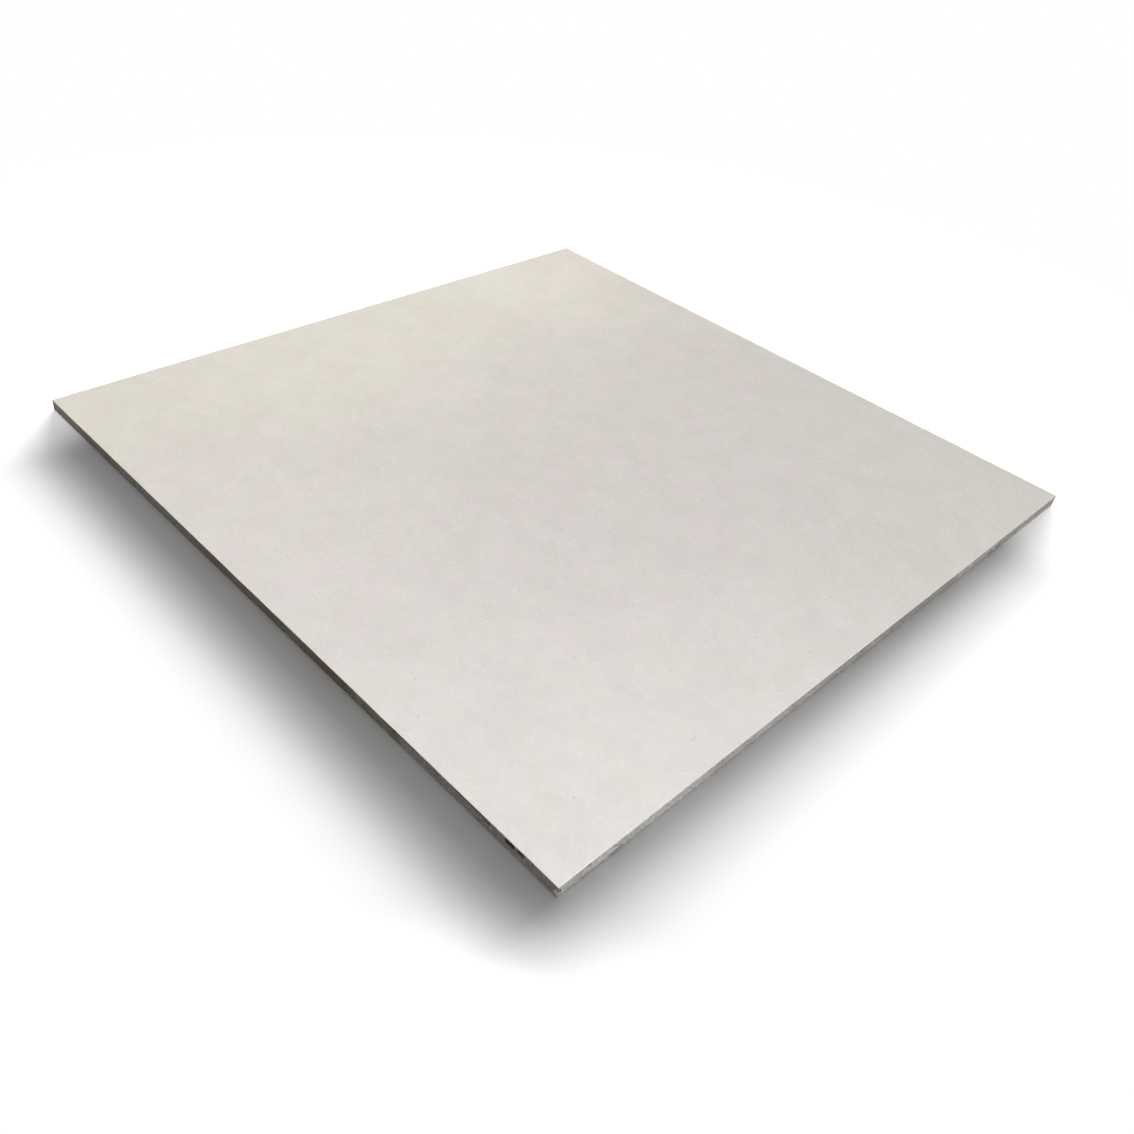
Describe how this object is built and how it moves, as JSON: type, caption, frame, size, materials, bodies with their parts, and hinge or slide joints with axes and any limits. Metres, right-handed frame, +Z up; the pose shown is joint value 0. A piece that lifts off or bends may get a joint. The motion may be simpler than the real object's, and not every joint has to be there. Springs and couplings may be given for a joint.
{
  "type": "limestone tile",
  "caption": "Square flat limestone tile with a honed face, a sawn bed, narrow eased rims and small chips and voids along its sides, for a floor or a wall.",
  "frame": {"origin": "centre of the bed, the sawn underside that the tile lies on", "axes": "+Z up out of the honed face, X and Y parallel to the sides; the corner with the chipped upright edge is at +X -Y"},
  "size_m": [0.6, 0.6, 0.009],
  "materials": {
    "limestone": "matte"
  },
  "bodies": {
    "root": {"limestone_tile": "limestone"}
  },
  "joints": []
}
